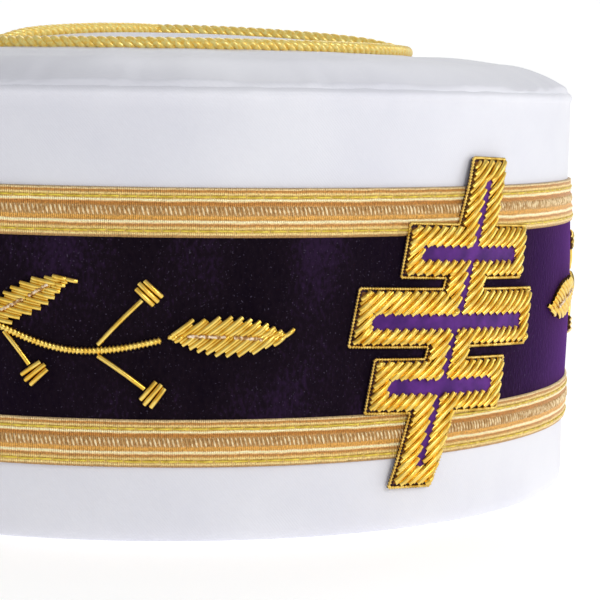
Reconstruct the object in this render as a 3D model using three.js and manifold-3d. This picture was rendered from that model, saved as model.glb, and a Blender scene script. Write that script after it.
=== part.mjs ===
// Crown cap of stiffened white satin with a purple velvet band, two gold laces,
// an embroidered cross of three bars, leaf sprays and gold cord over the crown.
// Millimetres, +Z up, the front (the cross) towards -Y, standing on its rim at z = 0.
import * as THREE from "three";
import { mergeVertices } from "three/addons/utils/BufferGeometryUtils.js";
import Module from "manifold-3d";

const wasm = await Module();
wasm.setup();

// Whole cap
const cap_length = 193;
const cap_width = 186;
const wall_height = 86.6;
const wall_thickness = 2.5;
const wall_radius = (cap_length + cap_width) / 4;
const round_steps = 48;
const seat_gap = 0.3;

// Rolled top edge of the side wall
const edge_height = 2.4;
const edge_proud = 0.6;

// Crown
const crown_thickness = 2.4;
const shoulder_rise = 3.0;
const shoulder_width = 3.2;
const dome_rise = 9.0;
const crown_inset = 0.8;
const inside_rings = 4;
const groove_depth = 1.2;
const groove_half_width = 8.0;

// Velvet and the two laces, by height above the rim that the cap stands on
const velvet_thickness = 0.6;
const lace_thickness = 0.7;
const lace_rib = 0.2;
const lace_lap = 3.0;
const lower_lace_bottom = 14.3;
const lower_lace_width = 9.2;
const upper_lace_bottom = 58.0;
const upper_lace_width = 9.4;

// Cross: one leaning stem with three bars, flat sizes as it lies on the wall.
// The stem's two ends bend a little to one side, beyond its straight middle length.
const cross_bottom = 8.2;
const cross_top = 73.2;
const cross_middle = 41.0;
const cross_shift = 0.6;
const cross_lean = 0.326;
const stem_straight = 38.0;
const stem_end_bend = 1.2;
const bar_drop = 0.045;
const bar_end_lean = 0.2;
const stem_width = 12.1;
const stem_end_width = 11.0;
const lower_bar_gap = 1.6;
const lower_bar_depth = 11.2;
const lower_bar_shift = 0.8;
const middle_bar_height = 41.45;
const middle_bar_depth = 12.0;
const middle_bar_length = 50.2;
const middle_bar_shift = -0.2;
const upper_bar_gap = 1.4;
const upper_bar_depth = 11.2;
const upper_bar_shift = 0.0;
const short_bar_length = 36.2;
const lower_bar_height = middle_bar_height - (middle_bar_depth + lower_bar_depth) / 2 - lower_bar_gap;
const upper_bar_height = middle_bar_height + (middle_bar_depth + upper_bar_depth) / 2 + upper_bar_gap;
const bars = [
  { height: lower_bar_height, depth: lower_bar_depth, length: short_bar_length, shift: lower_bar_shift },
  { height: middle_bar_height, depth: middle_bar_depth, length: middle_bar_length, shift: middle_bar_shift },
  { height: upper_bar_height, depth: upper_bar_depth, length: short_bar_length, shift: upper_bar_shift },
];
const core_width = 1.7;
const core_depth = 2.8;
const core_end_inset = 4.5;
const ground_thickness = 0.4;
const edging_width = 0.8;
const edging_height = 0.8;
const bullion_height = 1.4;
const core_height = 0.6;

// Leaf spray on each side of the cross, by arc length from the front
const tip_leaf_start = 37.0;
const tip_leaf_length = 24.1;
const tip_leaf_drop = 1.2;
const tip_leaf_lean = 0.2;
const raised_tip_leaf_drop = -3.0;
const raised_tip_leaf_lean = 3.4;
const leaf_to_stem = 0.7;
const start_to_dip = 14.7;
const spray_back_gap = 42.2;
const spray_swing = 4.3;
const spray_units = 6;
const spray_tail = 19.0;
const stem_radius = 0.8;
const stem_sides = 5;
const stem_step = 7.5;
const leaf_width = 7.4;
const leaf_thickness = 1.6;
const leaf_points = 5;
const side_leaf_base = 18.5;
const side_leaf_tip = 1.1;
const side_leaf_base_rise = 1.9;
const side_leaf_tip_rise = 9.0;
const stalk_radius = 0.5;
const stalk_sides = 4;
const berry_size = 5.2;
const berry_thickness = 1.5;
const near_sprigs_foot = -2.0;
const near_sprig_reach = 9.8;
const near_sprig_rise = 7.0;
const low_sprig_reach = 10.6;
const low_sprig_drop = 11.6;
const far_sprig_foot = 15.6;
const far_sprig_reach = 5.8;
const far_sprig_drop = 8.2;
const sprigs = [
  { foot: near_sprigs_foot, reach: near_sprig_reach, rise: near_sprig_rise },
  { foot: near_sprigs_foot, reach: low_sprig_reach, rise: -low_sprig_drop },
  { foot: far_sprig_foot, reach: far_sprig_reach, rise: -far_sprig_drop },
];

// Gold cord on the crown: a ring, and three spokes inside it that meet over the middle
const cord_radius = 1.5;
const cord_sides = 8;
const ring_radius = 60.0;
const ring_steps = 40;
const spoke_count = 3;
const spoke_steps = 11;
const spoke_turn = THREE.MathUtils.degToRad(47);
const spoke_start = 2.1;

// Places that follow from the sizes above
const lower_lace_top = lower_lace_bottom + lower_lace_width;
const upper_lace_top = upper_lace_bottom + upper_lace_width;
const velvet_bottom = lower_lace_top - lace_lap;
const velvet_top = upper_lace_bottom + lace_lap;
const band_middle = (lower_lace_top + upper_lace_bottom) / 2;
const velvet_face = seat_gap + velvet_thickness;
const lace_face = velvet_face + seat_gap + lace_thickness;
const crown_edge = wall_radius - crown_inset;
const crown_seat = wall_height + seat_gap;
const tip_leaf_base = tip_leaf_start + tip_leaf_length;
const spray_start = tip_leaf_base + leaf_to_stem;
const spray_first_dip = spray_start + start_to_dip;
const half_girth = Math.PI * wall_radius;
const spray_half_wave = (half_girth - spray_first_dip - spray_tail - spray_back_gap) / (spray_units - 1);

// Colours and finishes
const finish = {
  satin: new THREE.MeshStandardMaterial({ color: 0xeceaf2, roughness: 0.42, metalness: 0.0 }),
  velvet: new THREE.MeshStandardMaterial({ color: 0x2c1650, roughness: 0.9, metalness: 0.0 }),
  core: new THREE.MeshStandardMaterial({ color: 0x4e1f8c, roughness: 0.5, metalness: 0.0 }),
  lace: new THREE.MeshStandardMaterial({ color: 0xd9b263, roughness: 0.45, metalness: 0.7 }),
  bullion: new THREE.MeshStandardMaterial({ color: 0xd8a431, roughness: 0.3, metalness: 0.9 }),
  cord: new THREE.MeshStandardMaterial({ color: 0xd6ae55, roughness: 0.4, metalness: 0.7 }),
};

const cap = new THREE.Group();
cap.scale.set(cap_width / 2 / wall_radius, cap_length / 2 / wall_radius, 1);

function addNode(name, geometry, material) {
  const mesh = new THREE.Mesh(geometry, material);
  mesh.name = name;
  cap.add(mesh);
}

// A point on the round wall: arc from the front, height, and how far it stands proud
function wallPoint(arc, height, proud) {
  const angle = arc / wall_radius;
  const radius = wall_radius + proud;
  return new THREE.Vector3(radius * Math.sin(angle), -radius * Math.cos(angle), height);
}

// Turn a closed profile of [radius, height] pairs, anticlockwise, about the cap's axis
function turned(profile) {
  const points = profile.map(([radius, height]) => new THREE.Vector2(radius, height));
  const geometry = new THREE.LatheGeometry(points, round_steps);
  geometry.rotateX(Math.PI / 2);
  return geometry;
}

function closedLoop(profile) {
  return [...profile, profile[0]];
}

function solidOf(geometry) {
  const bare = new THREE.BufferGeometry();
  bare.setAttribute("position", geometry.getAttribute("position").clone());
  if (geometry.index) bare.setIndex(geometry.index.clone());
  const merged = mergeVertices(bare, 1e-4);
  return new wasm.Manifold(new wasm.Mesh({
    numProp: 3,
    vertProperties: new Float32Array(merged.getAttribute("position").array),
    triVerts: new Uint32Array(merged.index.array),
  }));
}

function joined(geometries) {
  const whole = geometries.map(solidOf).reduce((sum, piece) => sum.add(piece));
  const mesh = whole.getMesh();
  const geometry = new THREE.BufferGeometry();
  geometry.setAttribute("position", new THREE.BufferAttribute(new Float32Array(mesh.vertProperties), 3));
  geometry.setIndex(new THREE.BufferAttribute(new Uint32Array(mesh.triVerts), 1));
  return geometry;
}

// Where the sloping and upright edges of flat loops cross the line at one arc
function stationsOf(loops, longest_step) {
  const corners = [...new Set(loops.flat().map(([arc]) => Number(arc.toFixed(5))))].sort((a, b) => a - b);
  const stations = [];
  corners.forEach((arc, i) => {
    stations.push(arc);
    if (i + 1 === corners.length) return;
    const width = corners[i + 1] - arc;
    const parts = Math.ceil(width / longest_step);
    for (let k = 1; k < parts; k += 1) stations.push(arc + (width * k) / parts);
  });
  return stations;
}

function edgesOf(loops) {
  return loops.flatMap((loop) => loop.map((start, i) => {
    const end = loop[(i + 1) % loop.length];
    return start[0] <= end[0] ? { start, end } : { start: end, end: start };
  }));
}

function heightAt(edge, arc) {
  const share = (arc - edge.start[0]) / (edge.end[0] - edge.start[0]);
  return edge.start[1] + share * (edge.end[1] - edge.start[1]);
}

// A plate cut to flat loops (an outline and its holes) and laid round the wall,
// between two distances off the wall, made of upright strips that follow its curve
function plateOnWall(loops, inner, outer, longest_step = 6) {
  const stations = stationsOf(loops, longest_step);
  const edges = edgesOf(loops);
  const small = 1e-4;
  const spans = [];
  for (let i = 0; i + 1 < stations.length; i += 1) {
    const [left, right] = [stations[i], stations[i + 1]];
    const across = edges.filter(({ start, end }) => start[0] <= left + small && end[0] >= right - small
      && end[0] - start[0] > small);
    across.sort((a, b) => heightAt(a, (left + right) / 2) - heightAt(b, (left + right) / 2));
    for (let k = 0; k + 1 < across.length; k += 2) {
      spans.push({
        column: i,
        low: [heightAt(across[k], left), heightAt(across[k], right)],
        high: [heightAt(across[k + 1], left), heightAt(across[k + 1], right)],
      });
    }
  }
  const breaks = stations.map(() => []);
  const addBreak = (station, height) => {
    if (!breaks[station].some((known) => Math.abs(known - height) < small)) breaks[station].push(height);
  };
  spans.forEach(({ column, low, high }) => {
    [0, 1].forEach((side) => {
      addBreak(column + side, low[side]);
      addBreak(column + side, high[side]);
    });
  });
  breaks.forEach((heights) => heights.sort((a, b) => a - b));

  const positions = [];
  const triangles = [];
  const known = new Map();
  const vertex = (station, height, proud) => {
    const nearest = breaks[station].findIndex((value) => Math.abs(value - height) < small);
    const key = `${station}:${nearest}:${proud}`;
    if (!known.has(key)) {
      known.set(key, positions.length / 3);
      positions.push(...wallPoint(stations[station], breaks[station][nearest], proud).toArray());
    }
    return known.get(key);
  };
  const triangle = (a, b, c) => {
    if (a !== b && b !== c && a !== c) triangles.push(a, b, c);
  };
  const chain = (station, low, high) => breaks[station].filter((h) => h > low - small && h < high + small);
  const wall = (from, to) => {
    const [a, b] = [vertex(...from, inner), vertex(...to, inner)];
    const [c, d] = [vertex(...to, outer), vertex(...from, outer)];
    triangle(a, b, c);
    triangle(a, c, d);
  };
  const covered = stations.map(() => ({ left: new Set(), right: new Set() }));
  spans.forEach(({ column, low, high }) => {
    const left = chain(column, low[0], high[0]);
    const right = chain(column + 1, low[1], high[1]);
    let [i, j] = [0, 0];
    while (i + 1 < left.length || j + 1 < right.length) {
      const step_left = j + 1 >= right.length || (i + 1 < left.length && left[i + 1] <= right[j + 1]);
      const corners = step_left
        ? [[column, left[i]], [column + 1, right[j]], [column, left[i + 1]]]
        : [[column, left[i]], [column + 1, right[j]], [column + 1, right[j + 1]]];
      const front = corners.map(([station, height]) => vertex(station, height, outer));
      const back = corners.map(([station, height]) => vertex(station, height, inner));
      triangle(...front);
      triangle(back[0], back[2], back[1]);
      if (step_left) i += 1;
      else j += 1;
    }
    wall([column, low[0]], [column + 1, low[1]]);
    wall([column + 1, high[1]], [column, high[0]]);
    left.slice(0, -1).forEach((height) => covered[column].right.add(breaks[column].indexOf(height)));
    right.slice(0, -1).forEach((height) => covered[column + 1].left.add(breaks[column + 1].indexOf(height)));
  });
  covered.forEach(({ left, right }, station) => {
    breaks[station].slice(0, -1).forEach((height, i) => {
      const above = breaks[station][i + 1];
      if (left.has(i) && !right.has(i)) wall([station, height], [station, above]);
      if (right.has(i) && !left.has(i)) wall([station, above], [station, height]);
    });
  });
  const geometry = new THREE.BufferGeometry();
  geometry.setAttribute("position", new THREE.Float32BufferAttribute(positions, 3));
  geometry.setIndex(triangles);
  return geometry;
}

// Points along a flat loop's edges, the same number on loops with matching corners
function divided(loop, guide, longest_step = 6) {
  return loop.flatMap((start, i) => {
    const end = loop[(i + 1) % loop.length];
    const [from, to] = [guide[i], guide[(i + 1) % guide.length]];
    const parts = Math.ceil(Math.hypot(to[0] - from[0], to[1] - from[1]) / longest_step);
    return Array.from({ length: parts }, (unused, k) => [
      start[0] + ((end[0] - start[0]) * k) / parts,
      start[1] + ((end[1] - start[1]) * k) / parts,
    ]);
  });
}

// A closed band laid round the wall between two loops with matching corners
function bandOnWall(outline, hole, inner, outer) {
  const rails = [[outline, inner], [outline, outer], [hole, outer], [hole, inner]]
    .map(([loop, proud]) => divided(loop, outline).map(([arc, height]) => wallPoint(arc, height, proud)));
  const count = rails[0].length;
  const triangles = rails.flatMap((rail, r) => rail.flatMap((point, i) => {
    const [next_rail, next] = [(r + 1) % rails.length, (i + 1) % count];
    const [a, b, c, d] = [r * count + i, r * count + next, next_rail * count + next, next_rail * count + i];
    return [a, b, c, a, c, d];
  }));
  const geometry = new THREE.BufferGeometry();
  geometry.setFromPoints(rails.flat());
  geometry.setIndex(triangles);
  return geometry;
}

function roundSection(radius, sides) {
  const corners = Array.from({ length: sides }, (unused, i) => {
    const angle = (2 * Math.PI * i) / sides;
    return new THREE.Vector2(radius * Math.cos(angle), radius * Math.sin(angle));
  });
  return new THREE.Shape(corners);
}

function tubeAlong(points, radius, sides, steps) {
  const curve = new THREE.CatmullRomCurve3(points);
  return new THREE.ExtrudeGeometry(roundSection(radius, sides), { steps, extrudePath: curve });
}

// Side wall
function sideWall() {
  const inside = wall_radius - wall_thickness;
  return turned(closedLoop([
    [wall_radius, 0],
    [wall_radius, wall_height - edge_height],
    [wall_radius + edge_proud, wall_height - edge_height / 2],
    [wall_radius + edge_proud / 2, wall_height - edge_height / 8],
    [wall_radius - edge_proud, wall_height],
    [inside, wall_height],
    [inside, 0],
  ]));
}

// Crown: a shallow dome on a rounded shoulder, seated on the wall's top edge, with a groove
// where the sewn ring of cord pulls it down
function smoothDomeHeight(radius) {
  return wall_height + shoulder_rise + dome_rise * (1 - (radius / wall_radius) ** 2);
}

function domeHeight(radius) {
  const from_groove = (radius - ring_radius) / groove_half_width;
  return smoothDomeHeight(radius) - groove_depth * Math.exp(-(from_groove ** 2));
}

function crownTop() {
  const inner_edge = wall_radius - wall_thickness;
  const dome_edge = crown_edge - shoulder_width;
  const underside = Array.from({ length: inside_rings }, (unused, i) => {
    const radius = (dome_edge * i) / inside_rings;
    return [radius, smoothDomeHeight(radius) - crown_thickness];
  });
  const groove_rings = [2, 1, 0, -1, -2].map((step) => ring_radius + step * groove_half_width);
  const outside_rings = [dome_edge, ...groove_rings, ring_radius / 3, 0];
  const outside = outside_rings.map((radius) => [radius, domeHeight(radius)]);
  return turned([
    ...underside,
    [inner_edge, crown_seat],
    [crown_edge, crown_seat],
    [crown_edge + crown_inset / 4, crown_seat + shoulder_rise / 3],
    [crown_edge - shoulder_width / 3, crown_seat + shoulder_rise * 0.8],
    ...outside,
  ]);
}

// Velvet between the laces, its raw edges under them
function velvetBand() {
  const [inner, outer] = [wall_radius + seat_gap, wall_radius + velvet_face];
  return turned(closedLoop([
    [outer, velvet_bottom],
    [outer, velvet_top],
    [inner, velvet_top],
    [inner, velvet_bottom],
  ]));
}

// Lace: ribbed face, stepped back where it laps the velvet's edge
function lace(velvet_side, satin_side, velvet_edge) {
  const up = Math.sign(satin_side - velvet_side);
  const step = velvet_edge + up * seat_gap;
  const at = (share) => velvet_side + share * (satin_side - velvet_side);
  const face = (share) => wall_radius + lace_face - share * (velvet_face);
  const profile = [
    [face(0), at(0)],
    [face(0.2) + lace_rib, at(0.2)],
    [face(0.5), at(0.5)],
    [face(0.8) + lace_rib, at(0.8)],
    [face(1), at(1)],
    [wall_radius + seat_gap, at(1)],
    [wall_radius + seat_gap, step],
    [wall_radius + velvet_face + seat_gap, step],
    [wall_radius + velvet_face + seat_gap, at(0)],
  ];
  return turned(closedLoop(up > 0 ? profile : profile.reverse()));
}

// Cross outline: the leaning stem with its bars, inset from its edge by one distance
function stemMiddle(height) {
  const from_middle = Math.abs(height - cross_middle);
  const end_length = (cross_top - cross_bottom - stem_straight) / 2;
  const bend = stem_end_bend * Math.max(0, (from_middle - stem_straight / 2) / end_length);
  return cross_shift + cross_lean * (height - cross_middle) - bend;
}

function barEndMiddle(bar, height) {
  return stemMiddle(bar.height) + bar.shift + bar_end_lean * (height - bar.height);
}

function crossOutline({ end_inset, half_width, half_end_width, half_depth, half_length }) {
  const [bottom, top] = [cross_bottom + end_inset, cross_top - end_inset];
  const side = (sign) => {
    const at = (middle, offset, height) => [middle + sign * offset, height - bar_drop * sign * offset];
    const stem = (offset, height) => at(stemMiddle(height), offset, height);
    const points = [stem(half_end_width, bottom)];
    bars.forEach((bar) => {
      const [low, high] = [bar.height - half_depth(bar), bar.height + half_depth(bar)];
      const end = (height) => at(barEndMiddle(bar, height), half_length(bar), height);
      points.push(stem(half_width, low), end(low), end(high), stem(half_width, high));
    });
    return [...points, stem(half_end_width, top)];
  };
  return [...side(1), ...side(-1).reverse()];
}

function goldOutline(inset) {
  return crossOutline({
    end_inset: inset,
    half_width: stem_width / 2 - inset,
    half_end_width: stem_end_width / 2 - inset,
    half_depth: (bar) => bar.depth / 2 - inset,
    half_length: (bar) => bar.length / 2 - inset,
  });
}

function coreOutline(growth) {
  return crossOutline({
    end_inset: core_end_inset - growth,
    half_width: core_width / 2 + growth,
    half_end_width: core_width / 2 + growth,
    half_depth: () => core_depth / 2 + growth,
    half_length: (bar) => bar.length / 2 - core_end_inset + growth,
  });
}

function addCross() {
  const seat = lace_face + lace_rib + seat_gap;
  const face = seat + ground_thickness;
  const work = face + seat_gap;
  addNode("cross_ground", plateOnWall([goldOutline(0)], seat, face), finish.lace);
  addNode("cross_edging", bandOnWall(goldOutline(0), goldOutline(edging_width), work, work + edging_height),
    finish.bullion);
  addNode("cross_bullion", bandOnWall(goldOutline(edging_width + seat_gap), coreOutline(seat_gap), work,
    work + bullion_height), finish.bullion);
  addNode("cross_core", plateOnWall([coreOutline(0)], work, work + core_height), finish.core);
}

// Leaf spray: a waving stem with berries on stalks, and leaves in its bends
function stemRise(arc) {
  return -spray_swing * Math.cos((Math.PI * (arc - spray_first_dip)) / spray_half_wave);
}

function leafOutline(base, tip) {
  const along = new THREE.Vector2(tip[0] - base[0], tip[1] - base[1]);
  const across = new THREE.Vector2(-along.y, along.x).normalize();
  const edge = (sign) => Array.from({ length: leaf_points }, (unused, i) => {
    const share = (i + 1) / (leaf_points + 1);
    const half = (leaf_width / 2) * Math.sin(Math.PI * share) ** 0.8;
    const middle = [base[0] + along.x * share, base[1] + along.y * share];
    return [middle[0] + sign * across.x * half, middle[1] + sign * across.y * half];
  });
  return [base, ...edge(-1), tip, ...edge(1).reverse()];
}

function sprig(side, from, to) {
  const proud = velvet_face + seat_gap + stem_radius;
  const middle = [(from[0] + to[0]) / 2, (from[1] + to[1]) / 2];
  const stalk = [from, middle, to].map(([arc, height]) => wallPoint(side * arc, height, proud));
  const half = berry_size / 2;
  const [arc, height] = [side * to[0], to[1]];
  const inner = velvet_face + seat_gap;
  const berry = [[arc - half, height], [arc, height - half], [arc + half, height], [arc, height + half]];
  return [
    tubeAlong(stalk, stalk_radius, stalk_sides, 2),
    plateOnWall([berry], inner, inner + berry_thickness),
  ];
}

// A spray to one side of the cross: side -1 or 1 along the wall, up 1 or -1 for the way its first leaf lies
function addSpray(name, side, up, tip_drop, tip_lean) {
  const [inner, outer] = [velvet_face + seat_gap, velvet_face + seat_gap + leaf_thickness];
  const end = spray_first_dip + spray_half_wave * (spray_units - 1) + spray_tail;
  const steps = Math.round((end - spray_start) / stem_step);
  const stem_points = Array.from({ length: steps + 1 }, (unused, i) => {
    const arc = spray_start + ((end - spray_start) * i) / steps;
    return wallPoint(side * arc, band_middle + up * stemRise(arc), inner + stem_radius);
  });
  const pieces = [tubeAlong(stem_points, stem_radius, stem_sides, steps)];
  const leaf = (number, base, tip) => {
    const outline = leafOutline(base, tip).map(([arc, height]) => [side * arc, height]);
    addNode(`${name}_leaf_${number}`, plateOnWall([outline], inner, outer), finish.bullion);
  };
  const middle = band_middle;
  leaf(0, [tip_leaf_base, middle - tip_drop], [tip_leaf_start, middle - tip_drop - tip_lean]);
  for (let unit = 0; unit < spray_units; unit += 1) {
    const dip = spray_first_dip + spray_half_wave * unit;
    const flip = unit % 2 === 0 ? up : -up;
    leaf(unit + 1, [dip + side_leaf_base, middle + flip * side_leaf_base_rise],
      [dip + side_leaf_tip, middle + flip * side_leaf_tip_rise]);
    sprigs.forEach(({ foot, reach, rise }) => {
      const from = [dip + foot, middle + up * stemRise(dip + foot)];
      pieces.push(...sprig(side, from, [dip + foot - reach, middle + flip * rise]));
    });
  }
  addNode(`${name}_stem`, joined(pieces), finish.bullion);
}

// Cord on the crown: the ring, and the spokes from the middle out to it
function addCrownCords() {
  const seat = seat_gap + cord_radius;
  const ring = new THREE.TorusGeometry(ring_radius, cord_radius, cord_sides, ring_steps);
  ring.translate(0, 0, domeHeight(ring_radius - cord_radius) + seat);
  addNode("crown_ring_cord", ring, finish.cord);
  const reach = ring_radius - 2 * cord_radius - seat_gap;
  for (let spoke = 0; spoke < spoke_count; spoke += 1) {
    const turn = spoke_turn + (2 * Math.PI * spoke) / spoke_count;
    const points = Array.from({ length: spoke_steps + 1 }, (unused, i) => {
      const distance = spoke_start + ((reach - spoke_start) * i) / spoke_steps;
      const [x, y] = [distance * Math.sin(turn), -distance * Math.cos(turn)];
      return new THREE.Vector3(x, y, domeHeight(distance) + seat);
    });
    const cord = tubeAlong(points, cord_radius, cord_sides, spoke_steps);
    addNode(`crown_spoke_cord_${spoke}`, cord, finish.cord);
  }
}

addNode("side_wall", sideWall(), finish.satin);
addNode("crown_top", crownTop(), finish.satin);
addNode("velvet_band", velvetBand(), finish.velvet);
addNode("upper_lace", lace(upper_lace_bottom, upper_lace_top, velvet_top), finish.lace);
addNode("lower_lace", lace(lower_lace_top, lower_lace_bottom, velvet_bottom), finish.lace);
addCross();
addSpray("left_spray", -1, 1, tip_leaf_drop, tip_leaf_lean);
addSpray("right_spray", 1, -1, raised_tip_leaf_drop, raised_tip_leaf_lean);
addCrownCords();

export default cap;
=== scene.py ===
# Studio for one cap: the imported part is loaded, a camera of long focal length looks a little down on it,
# and large soft lamps stand round a white paper sweep that rises behind it.
import math

import bmesh
import bpy
from mathutils import Matrix, Vector, noise


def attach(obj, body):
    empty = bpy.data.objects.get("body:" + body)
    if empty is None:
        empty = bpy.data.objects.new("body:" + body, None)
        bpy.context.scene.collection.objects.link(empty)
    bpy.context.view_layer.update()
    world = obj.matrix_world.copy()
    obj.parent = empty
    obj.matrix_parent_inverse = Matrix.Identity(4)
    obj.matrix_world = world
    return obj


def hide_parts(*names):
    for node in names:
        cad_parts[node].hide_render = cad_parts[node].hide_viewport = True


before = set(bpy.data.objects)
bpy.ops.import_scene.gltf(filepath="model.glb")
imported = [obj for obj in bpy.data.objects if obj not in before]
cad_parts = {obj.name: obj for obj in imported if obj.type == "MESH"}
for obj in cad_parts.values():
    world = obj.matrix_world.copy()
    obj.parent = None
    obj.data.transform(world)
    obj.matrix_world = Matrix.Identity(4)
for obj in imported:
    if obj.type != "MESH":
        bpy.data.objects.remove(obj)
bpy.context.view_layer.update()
mm = 0.001

camera_turn = math.radians(-41.2)
camera_right = Vector((math.cos(camera_turn), math.sin(camera_turn), 0))
camera_ahead = Vector((-math.sin(camera_turn), math.cos(camera_turn), 0))
camera_distance = 489.8 * mm
camera_aside = 34.1 * mm
camera_height = 84.6 * mm
camera_dip = math.radians(5.5)
camera_tilt = math.radians(0.86)
focal_pixels = 2111
picture_pixels = 600
sensor_width = 36
lamp_aim = Vector((0, 0, 0.05))

ahead = camera_ahead * math.cos(camera_dip) - Vector((0, 0, math.sin(camera_dip)))
up = camera_right.cross(ahead)
tilted_right = camera_right * math.cos(camera_tilt) + up * math.sin(camera_tilt)
tilted_up = up * math.cos(camera_tilt) - camera_right * math.sin(camera_tilt)
lens = bpy.data.cameras.new("camera")
lens.sensor_width = sensor_width
lens.lens = focal_pixels / picture_pixels * sensor_width
lens.clip_start = 0.05
camera = bpy.data.objects.new("camera", lens)
bpy.context.collection.objects.link(camera)
axes = Matrix((tilted_right, tilted_up, -ahead)).transposed()
place = camera_right * camera_aside - camera_ahead * camera_distance + Vector((0, 0, camera_height))
camera.matrix_world = Matrix.Translation(place) @ axes.to_4x4()
bpy.context.scene.camera = camera
bpy.context.scene.view_settings.view_transform = "Standard"


def soft_lamp(name, aside, away, high, size, power):
    light = bpy.data.lights.new(name, "AREA")
    light.shape = "DISK"
    light.size = size
    light.energy = power
    lamp = bpy.data.objects.new(name, light)
    lamp.location = camera_right * aside + camera_ahead * away + Vector((0, 0, high))
    lamp.rotation_mode = "QUATERNION"
    lamp.rotation_quaternion = (lamp_aim - lamp.location).to_track_quat("-Z", "Y")
    bpy.context.collection.objects.link(lamp)


soft_lamp("key_lamp", 0.9, -1.1, 0.75, 0.5, 5.6)
soft_lamp("side_lamp", 1.6, 0.1, 0.45, 0.8, 4.2)
soft_lamp("fill_lamp", -1.3, -1.1, 0.5, 1.0, 0.5)
soft_lamp("back_lamp", 0.2, 1.3, 1.5, 1.2, 6)

sky = bpy.data.worlds.new("white_room")
sky.use_nodes = True
sky.node_tree.nodes["Background"].inputs["Color"].default_value = (0.97, 0.98, 1, 1)
sky.node_tree.nodes["Background"].inputs["Strength"].default_value = 0.44
bpy.context.scene.world = sky

sweep_half = 3.0
sweep_front = 2.0
sweep_back = 1.6
sweep_bend = 1.0
paper = bmesh.new()
front_corners = [paper.verts.new(camera_right * side * sweep_half - camera_ahead * sweep_front)
                 for side in (-1, 1)]
front_edge = paper.edges.new(front_corners)
level = bmesh.ops.extrude_edge_only(paper, edges=[front_edge])["geom"]
level_verts = [part for part in level if isinstance(part, bmesh.types.BMVert)]
bmesh.ops.translate(paper, verts=level_verts, vec=camera_ahead * (sweep_front + sweep_back))
bend_centre = camera_ahead * sweep_back + Vector((0, 0, sweep_bend))
bmesh.ops.spin(paper, geom=[part for part in level if not isinstance(part, bmesh.types.BMFace)],
               cent=bend_centre, axis=camera_right, angle=math.radians(90), steps=24)
paper_mesh = bpy.data.meshes.new("paper_sweep")
paper.to_mesh(paper_mesh)
paper.free()
paper_mesh.shade_smooth()
sweep = bpy.data.objects.new("paper_sweep", paper_mesh)
bpy.context.collection.objects.link(sweep)
paper_finish = bpy.data.materials.new("white_paper")
paper_finish.use_nodes = True
paper_shader = paper_finish.node_tree.nodes["Principled BSDF"]
paper_shader.inputs["Base Color"].default_value = (0.97, 0.97, 0.97, 1)
paper_shader.inputs["Roughness"].default_value = 0.9
paper_shader.inputs["Emission Color"].default_value = (1, 1, 1, 1)
paper_shader.inputs["Emission Strength"].default_value = 0.42
paper_mesh.materials.append(paper_finish)

# Side wall: white satin stretched round a stiff board, 2.5 mm thick in all, with a rolled top edge.
# It is turned as a round wall and then made slightly longer than wide, as a head is.
cap_length = 193 * mm
cap_width = 186 * mm
wall_radius = (cap_length + cap_width) / 4
wall_height = 86.6 * mm
wall_thickness = 2.5 * mm
edge_proud = 0.4 * mm
oval = Vector((cap_width / 2 / wall_radius, cap_length / 2 / wall_radius, 1))


def add_piece(name, mesh, finish, nodes=()):
    mesh.materials.append(finish)
    mesh.shade_smooth()
    piece = bpy.data.objects.new(name, mesh)
    bpy.context.collection.objects.link(piece)
    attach(piece, "root")
    if nodes:
        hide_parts(*nodes)


def mesh_from(bm, name):
    mesh = bpy.data.meshes.new(name)
    bm.to_mesh(mesh)
    bm.free()
    return mesh


def spun(profile, steps=240):
    bm = bmesh.new()
    verts = [bm.verts.new((radius, 0, height)) for radius, height in profile]
    edges = [bm.edges.new(pair) for pair in zip(verts, verts[1:] + verts[:1])]
    bmesh.ops.spin(bm, geom=verts + edges, cent=(0, 0, 0), axis=(0, 0, 1), angle=2 * math.pi,
                   steps=steps, use_merge=True)
    bmesh.ops.remove_doubles(bm, verts=bm.verts, dist=1e-6)
    bmesh.ops.recalc_face_normals(bm, faces=bm.faces)
    return bm


def steps_between(start, end, count):
    return [start + (end - start) * i / count for i in range(count + 1)]


def stretched(bm):
    bmesh.ops.scale(bm, vec=oval, verts=bm.verts)
    return bm


def node(tree, kind, inputs=(), **settings):
    made = tree.nodes.new(kind)
    for key, value in settings.items():
        setattr(made, key, value)
    for key, value in dict(inputs).items():
        if isinstance(value, bpy.types.NodeSocket):
            tree.links.new(value, made.inputs[key])
        else:
            made.inputs[key].default_value = value
    return made


def sum_of(tree, kind, first, second=0.0):
    return node(tree, "ShaderNodeMath", {0: first, 1: second}, operation=kind).outputs[0]


def new_finish(name, roughness, metallic=0.0):
    finish = bpy.data.materials.new(name)
    finish.use_nodes = True
    tree = finish.node_tree
    shader = tree.nodes["Principled BSDF"]
    shader.inputs["Roughness"].default_value = roughness
    shader.inputs["Metallic"].default_value = metallic
    return finish, tree, shader


def place_on_cap(tree):
    return node(tree, "ShaderNodeTexCoord").outputs["Object"]


def round_the_wall(tree):
    split = node(tree, "ShaderNodeSeparateXYZ", {0: place_on_cap(tree)}).outputs
    turn = sum_of(tree, "ARCTAN2", split["X"], sum_of(tree, "MULTIPLY", split["Y"], -1))
    return sum_of(tree, "MULTIPLY", turn, wall_radius), split["Z"]


def ripple(tree, distance, pitch):
    return sum_of(tree, "SINE", sum_of(tree, "MULTIPLY", distance, 2 * math.pi / pitch))


def speckle(tree, scale, detail=2.0, stretch=None):
    place = place_on_cap(tree)
    if stretch:
        place = node(tree, "ShaderNodeMapping", {"Vector": place, "Scale": stretch}).outputs[0]
    grain = node(tree, "ShaderNodeTexNoise", {"Vector": place, "Scale": scale, "Detail": detail})
    return grain.outputs["Fac"]


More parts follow.
